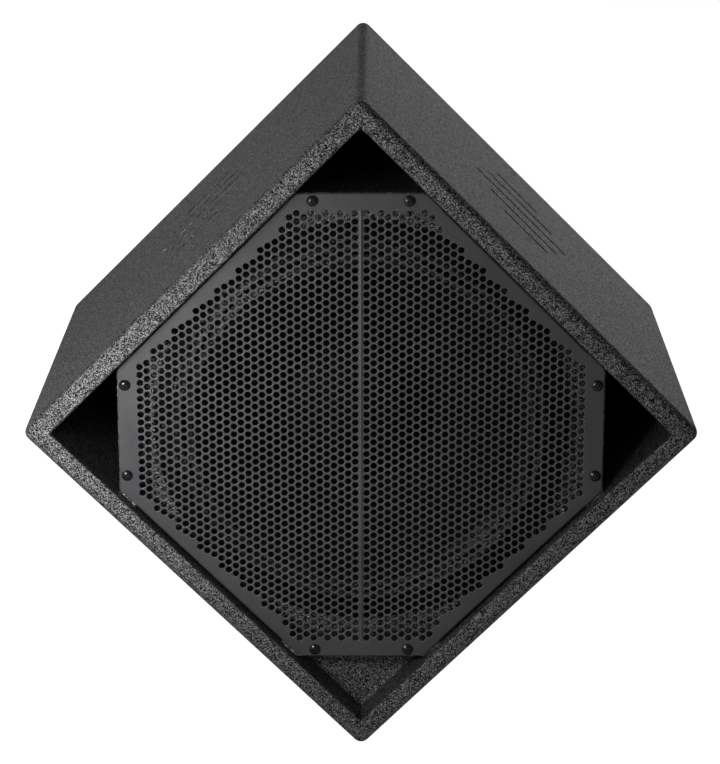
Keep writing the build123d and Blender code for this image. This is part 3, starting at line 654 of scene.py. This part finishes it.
def hole_places():
    """Centre and radius of every hole of the grille, in its own plane, screw holes last."""
    for column in range(COLUMNS):
        offset = FIRST_COLUMN + column * COLUMN_PITCH
        for row in range(-TOP_ROW, TOP_ROW + 1):
            height = (row + 0.5 * (column % 2)) * ROW_PITCH
            inside = abs(height) < (TOP_ROW + 0.1) * ROW_PITCH
            in_stairs = abs(height) + STAIR_SLOPE * offset <= STAIR_LIMIT
            if inside and (column < FULL_COLUMNS or in_stairs):
                yield offset, height, HOLE_R
                yield -offset, height, HOLE_R
    for across, up in ((SCREW_RADIUS, SCREW_OFFSET), (SCREW_OFFSET, SCREW_RADIUS)):
        for side in (-1, 1):
            yield side * across, up, SCREW_HOLE_R
            yield side * across, -up, SCREW_HOLE_R


def turned_quarters(points):
    """The points, then the same points turned by one, two and three quarter turns."""
    for quarter in range(4):
        cos, sin = ((1, 0), (0, 1), (-1, 0), (0, -1))[quarter]
        for across, up in points:
            yield across * cos - up * sin, across * sin + up * cos


def grille_outline(inset):
    """Outline of the flat sheet, anticlockwise, notched where the long edges are bent back."""
    short, long, corner_r = GRILLE_SHORT - inset, GRILLE_LONG - inset, GRILLE_CORNER_R - inset
    end = long * math.sqrt(2) - short
    tangent = corner_r * math.tan(math.pi / 8)
    notch = GRILLE_LONG - BEND_R
    corners = (short - corner_r, end - tangent, 0), (end - tangent, short - corner_r, CORNER_STEPS)
    points = []
    for across, up, start in corners:
        for k in range(CORNER_STEPS + 1):
            turn = math.pi / 4 * (start + k) / CORNER_STEPS
            points.append((across + corner_r * math.cos(turn), up + corner_r * math.sin(turn)))
        if start == 0:
            for side, reach in ((-1, long), (-1, notch), (1, notch), (1, long)):
                aside = side * FLANGE_LENGTH / 2
                points.append(((reach - aside) * math.sqrt(0.5), (reach + aside) * math.sqrt(0.5)))
    return list(turned_quarters(points))


def rounding(radius, steps):
    """Steps of a rounded edge: how far in, how deep, and how far the surface leans outward."""
    for k in range(steps + 1):
        lean = math.pi / 2 * k / steps
        yield radius * (1 - math.sin(lean)), radius * (1 - math.cos(lean)), lean
    yield 0.0, SHEET, math.pi / 2


class Shape:
    """Points, faces and a normal for each face corner, in the grille's own axes: across, up, depth."""

    def __init__(self):
        self.points, self.faces, self.normals, self.slots = [], [], [], []

    def add_points(self, points):
        first = len(self.points)
        self.points.extend(points)
        return first

    def add_face(self, face, normals, slot=0):
        self.faces.append(face)
        self.normals.extend(normals)
        self.slots.append(slot)

    def add_bar(self, section, half_length, angle):
        """Closed bar: section points are (reach, depth), and the bar runs at right angles to the reach."""
        cos, sin = math.cos(angle), math.sin(angle)
        rows = []
        for end in (-half_length, half_length):
            places = [(reach * cos - end * sin, reach * sin + end * cos, depth) for reach, depth in section]
            rows.append(self.add_points(places))
        count = len(section)
        for k in range(count):
            after = (k + 1) % count
            (r0, d0), (r1, d1) = section[k], section[after]
            size = math.hypot(r1 - r0, d1 - d0)
            across, inward = (d0 - d1) / size, (r1 - r0) / size
            face = (rows[0] + k, rows[1] + k, rows[1] + after, rows[0] + after)
            self.add_face(face, [(across * cos, across * sin, inward)] * 4)
        self.add_face(tuple(rows[0] + k for k in range(count)), [(sin, -cos, 0.0)] * count)
        self.add_face(tuple(rows[1] + k for k in reversed(range(count))), [(-sin, cos, 0.0)] * count)

    def piece(self, name):
        """The mesh object, with the grille's axes turned onto the cabinet's diagonal."""
        lean = math.sqrt(0.5)
        turn = np.array(((lean, 0.0, lean), (-lean, 0.0, lean), (0.0, 1.0, 0.0)))
        places = (np.array(self.points) @ turn) * MM + np.array((CENTRE.x, FRONT_Y, CENTRE.z))
        mesh = bpy.data.meshes.new(name)
        mesh.from_pydata(places, [], self.faces)
        mesh.polygons.foreach_set("use_smooth", [True] * len(mesh.polygons))
        mesh.polygons.foreach_set("material_index", self.slots)
        mesh.normals_split_custom_set((np.array(self.normals) @ turn).tolist())
        made = bpy.data.objects.new(name, mesh)
        bpy.context.scene.collection.objects.link(made)
        return made


def add_holes(shape, places):
    """Rounded rims and straight walls of the holes; returns the first point of the front and back rims."""
    turns = [math.tau * k / HOLE_SIDES for k in range(HOLE_SIDES)]
    rings, normals = [], []
    for widen, depth, lean in rounding(HOLE_RIM, RIM_STEPS):
        rings.append(shape.add_points([
            (x + (radius + widen) * math.cos(a), z + (radius + widen) * math.sin(a), GRILLE_DEPTH + depth)
            for x, z, radius in places for a in turns]))
        out = -math.sin(lean)
        normals.append([(out * math.cos(a), out * math.sin(a), -math.cos(lean)) for a in turns])
    for here in range(len(rings) - 1):
        # slot 1, the rim's steps, takes the lighter paint: a painted highlight on each hole's rim
        slot = 1 if here < RIM_STEPS else 0
        for first in range(0, len(places) * HOLE_SIDES, HOLE_SIDES):
            top, low = rings[here] + first, rings[here + 1] + first
            for k in range(HOLE_SIDES):
                after = (k + 1) % HOLE_SIDES
                shape.add_face((top + k, top + after, low + after, low + k),
                               (normals[here][k], normals[here][after], normals[here + 1][after],
                                normals[here + 1][k]), slot)
    return rings[0], rings[-1]


def add_sheet_edge(shape):
    """Rounded outer edge of the sheet; returns its front outline and the first points of front and back."""
    rings, outlines, steps = [], [], list(rounding(SHEET_EDGE_R, SHEET_EDGE_STEPS))
    for inset, depth, _ in steps:
        outlines.append(grille_outline(inset))
        rings.append(shape.add_points([(x, z, GRILLE_DEPTH + depth) for x, z in outlines[-1]]))
    full = outlines[-1]
    for k in range(len(full)):
        after = (k + 1) % len(full)
        (x0, z0), (x1, z1) = full[k], full[after]
        size = math.hypot(x1 - x0, z1 - z0)
        out = ((z1 - z0) / size, (x0 - x1) / size)
        for here in range(len(rings) - 1):
            leans = [steps[here][2], steps[here + 1][2]]
            top, low = [(out[0] * math.sin(a), out[1] * math.sin(a), -math.cos(a)) for a in leans]
            upper, lower = rings[here], rings[here + 1]
            shape.add_face((upper + k, lower + k, lower + after, upper + after), (top, low, low, top))
    return outlines[0], rings[0], rings[-1]


def add_sheet_faces(shape, rims, edge, hole_count):
    """Triangles of the sheet's front and back, between the holes' rims and the outline."""
    outline, outline_front, outline_back = edge
    front_rims, back_rims = rims
    flat = [Vector(p[:2]) for p in shape.points[front_rims:front_rims + hole_count * HOLE_SIDES]]
    first = len(flat)
    flat += [Vector(p) for p in outline]
    edges = []
    loops = [(hole * HOLE_SIDES, HOLE_SIDES) for hole in range(hole_count)] + [(first, len(outline))]
    for start, count in loops:
        edges += [(start + k, start + (k + 1) % count) for k in range(count)]
    found = geometry.delaunay_2d_cdt(flat, edges, [], 0, 1e-5)
    source = [ids[0] for ids in found[3]]
    lean = math.sqrt(0.5)
    for triangle in found[2]:
        corners = [source[k] for k in triangle]
        holes = {k // HOLE_SIDES if k < first else -1 for k in corners}
        if len(holes) == 1 and holes != {-1}:
            continue
        across, up = (sum(flat[k][axis] for k in corners) / 3 for axis in (0, 1))
        reach = max(abs(across + up), abs(across - up)) * lean
        aside = min(abs(across + up), abs(across - up)) * lean
        if reach > GRILLE_LONG - BEND_R and aside < FLANGE_LENGTH / 2:
            continue
        front = [front_rims + k if k < first else outline_front + k - first for k in corners]
        back = [back_rims + k if k < first else outline_back + k - first for k in corners]
        shape.add_face(tuple(front), [(0.0, 0.0, -1.0)] * 3)
        shape.add_face(tuple(reversed(back)), [(0.0, 0.0, 1.0)] * 3)


def bent_edge_section():
    """Section of a bent long edge, as (reach, depth): its outside, the flange's end, its inside."""
    reach, depth = GRILLE_LONG - BEND_R, GRILLE_DEPTH + BEND_R
    section, turns = [], [math.pi / 2 * k / BEND_STEPS for k in range(BEND_STEPS + 1)]
    for radius in (BEND_R, BEND_R - SHEET):
        side = [(reach + radius * math.sin(a), depth - radius * math.cos(a)) for a in turns]
        side.append((reach + radius, GRILLE_DEPTH + FLANGE_DEPTH))
        section += side if radius == BEND_R else reversed(side)
    return section


def add_grille(finishes):
    """Punched and folded steel sheet: every hole has a rounded rim, given the lighter rim paint as a
    painted highlight.
    """
    shape, places = Shape(), list(hole_places())
    rims = add_holes(shape, places)
    add_sheet_faces(shape, rims, add_sheet_edge(shape), len(places))
    for quarter in range(4):
        shape.add_bar(bent_edge_section(), FLANGE_LENGTH / 2, math.pi / 4 + math.pi / 2 * quarter)
    half, sunk = RIB_WIDTH / 2, GRILLE_DEPTH + RIB_HEIGHT / 2
    rib = [*arch(-half, half, GRILLE_DEPTH, RIB_HEIGHT, RIB_STEPS), (half, sunk), (-half, sunk)]
    shape.add_bar(rib, RIB_HALF_LENGTH, 0.0)
    piece = finished(shape.piece("punched_grille"), "grille_paint", finishes)
    # the lighter second paint of the rims is a painted highlight
    piece.data.materials.append(finishes["rim_painted_highlight"])
    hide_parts("grille")
    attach(piece, "cabinet")


def slot_outline(length, depth):
    """Outline of the painted shade sheet in one slot, as (reach, depth behind the front face) in mm, with
    round ends.
    """
    radius, outline = SLOT_WIDTH / 2 - SLOT_PLAY, []
    for side in (1, -1):
        for k in range(SLOT_END_STEPS + 1):
            turn = math.pi * (k / SLOT_END_STEPS - 0.5)
            reach = side * (length / 2 - SLOT_WIDTH / 2 + radius * math.cos(turn))
            outline.append((reach, depth + side * radius * math.sin(turn)))
    return outline


def add_slot_painted_shade(finishes):
    """Near-black sheet laid in the bottoms of the engraved slots, on the top and the left panel: painted
    shade.
    """
    points, faces = [], []
    for panel in ("top", "left"):
        for step, length in enumerate(SLOT_LENGTHS):
            outline = slot_outline(length, MOTIF_DEPTH + (step - 2) * SLOT_PITCH)
            count, first = len(outline), len(points)
            for height in (-SLOT_DEPTH, -SLOT_DEPTH + SLOT_SHADE_SHEET):
                for reach, depth in outline:
                    y = FRONT_Y + depth * MM
                    if panel == "top":
                        points.append((CENTRE.x + reach * MM, y, SHELL_HIGH.z + height * MM))
                    else:
                        points.append((SHELL_LOW.x - height * MM, y, CENTRE.z + reach * MM))
            faces.append(tuple(range(first, first + count)))
            faces.append(tuple(range(first + 2 * count - 1, first + count - 1, -1)))
            for k in range(count):
                after = (k + 1) % count
                faces.append((first + k, first + after, first + count + after, first + count + k))
    # near-black sheet in the slot floors: painted shade
    piece = mesh_object("slot_painted_shade", points, faces)
    outward(piece)
    piece.data.materials.append(finishes["slot_painted_shade"])
    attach(piece, "cabinet")


def lead_path():
    """Points along one lead, from the cone to the terminals, rounded at each bend."""
    bends = [Vector(p) for p in LEAD_PATH]
    path = [bends[0]]
    for before, here, after in zip(bends, bends[1:], bends[2:]):
        enter, leave = (here + (other - here).normalized() * LEAD_BEND for other in (before, after))
        for k in range(LEAD_BEND_STEPS + 1):
            share = k / LEAD_BEND_STEPS
            path.append(enter * (1 - share) ** 2 + here * 2 * share * (1 - share) + leave * share ** 2)
    path.append(bends[-1])
    return path


def add_leads(finishes):
    """Braided leads from the terminals to the cone."""
    path, lengths = lead_path(), [0.0]
    for here, after in zip(path, path[1:]):
        lengths.append(lengths[-1] + (after - here).length)
    for name, across in (("braided_lead_left", -LEAD_ACROSS), ("braided_lead_right", LEAD_ACROSS)):
        points, faces, side = [], [], Vector((1.0, 0.0, 0.0))
        for k, here in enumerate(path):
            lift = (path[min(k + 1, len(path) - 1)] - path[max(k - 1, 0)]).normalized().cross(side)
            for turn in range(LEAD_SIDES):
                angle = math.tau * turn / LEAD_SIDES
                x, y, z = here + (side * math.cos(angle) + lift * math.sin(angle)) * LEAD_RADIUS
                points.append((CENTRE.x + (across + x) * MM, FRONT_Y + y * MM, CENTRE.z + z * MM))
        for k in range(len(path) - 1):
            for turn in range(LEAD_SIDES):
                after, row = (turn + 1) % LEAD_SIDES, k * LEAD_SIDES
                faces.append((row + turn, row + after, row + LEAD_SIDES + after, row + LEAD_SIDES + turn))
        faces.append(tuple(range(LEAD_SIDES)))
        faces.append(tuple((len(path) - 1) * LEAD_SIDES + turn for turn in range(LEAD_SIDES)))
        piece = mesh_object(name, points, faces, smooth=True)
        outward(piece)
        finished(piece, "braided_copper", finishes)
        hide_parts("tinsel_leads")
        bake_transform(piece)


def add_wadding(finishes):
    """Fluffy polyester sheets: thick in the middle, pinched at the edges, lumpy on the open side."""
    walls = {"top": (2, 1), "bottom": (2, -1), "left": (0, -1), "right": (0, 1), "rear": (1, 1)}
    for wall_name, (axis, side) in walls.items():
        node = "wadding_" + wall_name
        low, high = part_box(node)
        wide, long = [k for k in range(3) if k != axis]
        thick = high[axis] - low[axis]
        wall = high[axis] if side > 0 else low[axis]
        columns, rows = (round((high[k] - low[k]) / WADDING_GRID) for k in (wide, long))
        points = []
        for layer in (0, 1):
            for i in range(columns + 1):
                for j in range(rows + 1):
                    u, v = i / columns, j / rows
                    edge = min(u, 1 - u, v, 1 - v) * min(columns, rows)
                    crown = min(1.0, edge / WADDING_TAPER) ** 0.5
                    place = [0.0, 0.0, 0.0]
                    place[wide] = low[wide] + (high[wide] - low[wide]) * u
                    place[long] = low[long] + (high[long] - low[long]) * v
                    place[axis] = wall
                    lump = noise.fractal(Vector(place) * WADDING_LUMPS, 0.8, 2.0, 4)
                    swell = WADDING_CROWN + WADDING_SWELL * max(-1.0, min(1.0, lump))
                    height = thick * (WADDING_THIN + swell * crown)
                    place[axis] = wall - side * (height if layer else 0.0)
                    points.append(place)
        stride, layer_size = rows + 1, (columns + 1) * (rows + 1)
        faces = []
        for i in range(columns):
            for j in range(rows):
                corner = i * stride + j
                ring = (corner, corner + 1, corner + stride + 1, corner + stride)
                faces.append(ring)
                faces.append(tuple(layer_size + k for k in ring))
        rim = [i * stride for i in range(columns)] + [columns * stride + j for j in range(rows)]
        rim += [i * stride + rows for i in range(columns, 0, -1)] + list(range(rows, 0, -1))
        for here, there in zip(rim, rim[1:] + rim[:1]):
            faces.append((here, there, layer_size + there, layer_size + here))
        piece = mesh_object("fluffy_" + node, points, faces, smooth=True)
        outward(piece)
        finished(piece, "wadding", finishes)
        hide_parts(node)
        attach(piece, "cabinet")


def add_coating_bead(finishes):
    """Thick run of sprayed coat along the junction of baffle and walls, in the closed corner."""
    corner = Vector((CENTRE.x + INNER_HALF, BAFFLE_FRONT_Y, CENTRE.z - INNER_HALF))
    right, up, forward = Vector((1, 0, 0)), Vector((0, 0, 1)), Vector((0, -1, 0))
    for name, along, inward in (("coating_bead_right", up, -right), ("coating_bead_bottom", -right, up)):
        points, faces = [], []
        for step in range(BEAD_RINGS + 1):
            share = step / BEAD_RINGS
            taper = min(1.0, 8 * (1 - share) + 0.05)
            middle = corner + along * (BEAD_LENGTH * MM * share)
            swell = 1 + BEAD_SWELL[0] * noise.noise(middle * BEAD_SWELL[1])
            for k in range(BEAD_SIDES + 1):
                angle = math.pi / 2 * k / BEAD_SIDES
                ripple = 1 + BEAD_RIPPLE[0] * noise.noise(middle * BEAD_RIPPLE[1] + Vector((k, 0, 0)))
                hollow = 1 - BEAD_HOLLOW * math.sin(2 * angle)
                out = inward * math.cos(angle) + forward * math.sin(angle)
                points.append(middle + out * (BEAD_R * MM * taper * swell * ripple) * hollow)
            points.append(middle)
        stride = BEAD_SIDES + 2
        for step in range(BEAD_RINGS):
            base = step * stride
            for k in range(stride):
                after = (k + 1) % stride
                faces.append((base + k, base + after, base + stride + after, base + stride + k))
        faces.append(tuple(range(stride)))
        faces.append(tuple(BEAD_RINGS * stride + k for k in range(stride)))
        piece = mesh_object(name, points, faces, smooth=True)
        outward(piece)
        finished(piece, "coated_plywood", finishes)
        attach(piece, "cabinet")


add_camera()
add_studio()
finishes = make_finishes()
dress_cad_nodes(finishes)
add_grille(finishes)
add_surround(finishes)
add_spider(finishes)
add_leads(finishes)
add_slot_painted_shade(finishes)
add_wadding(finishes)
add_coating_bead(finishes)
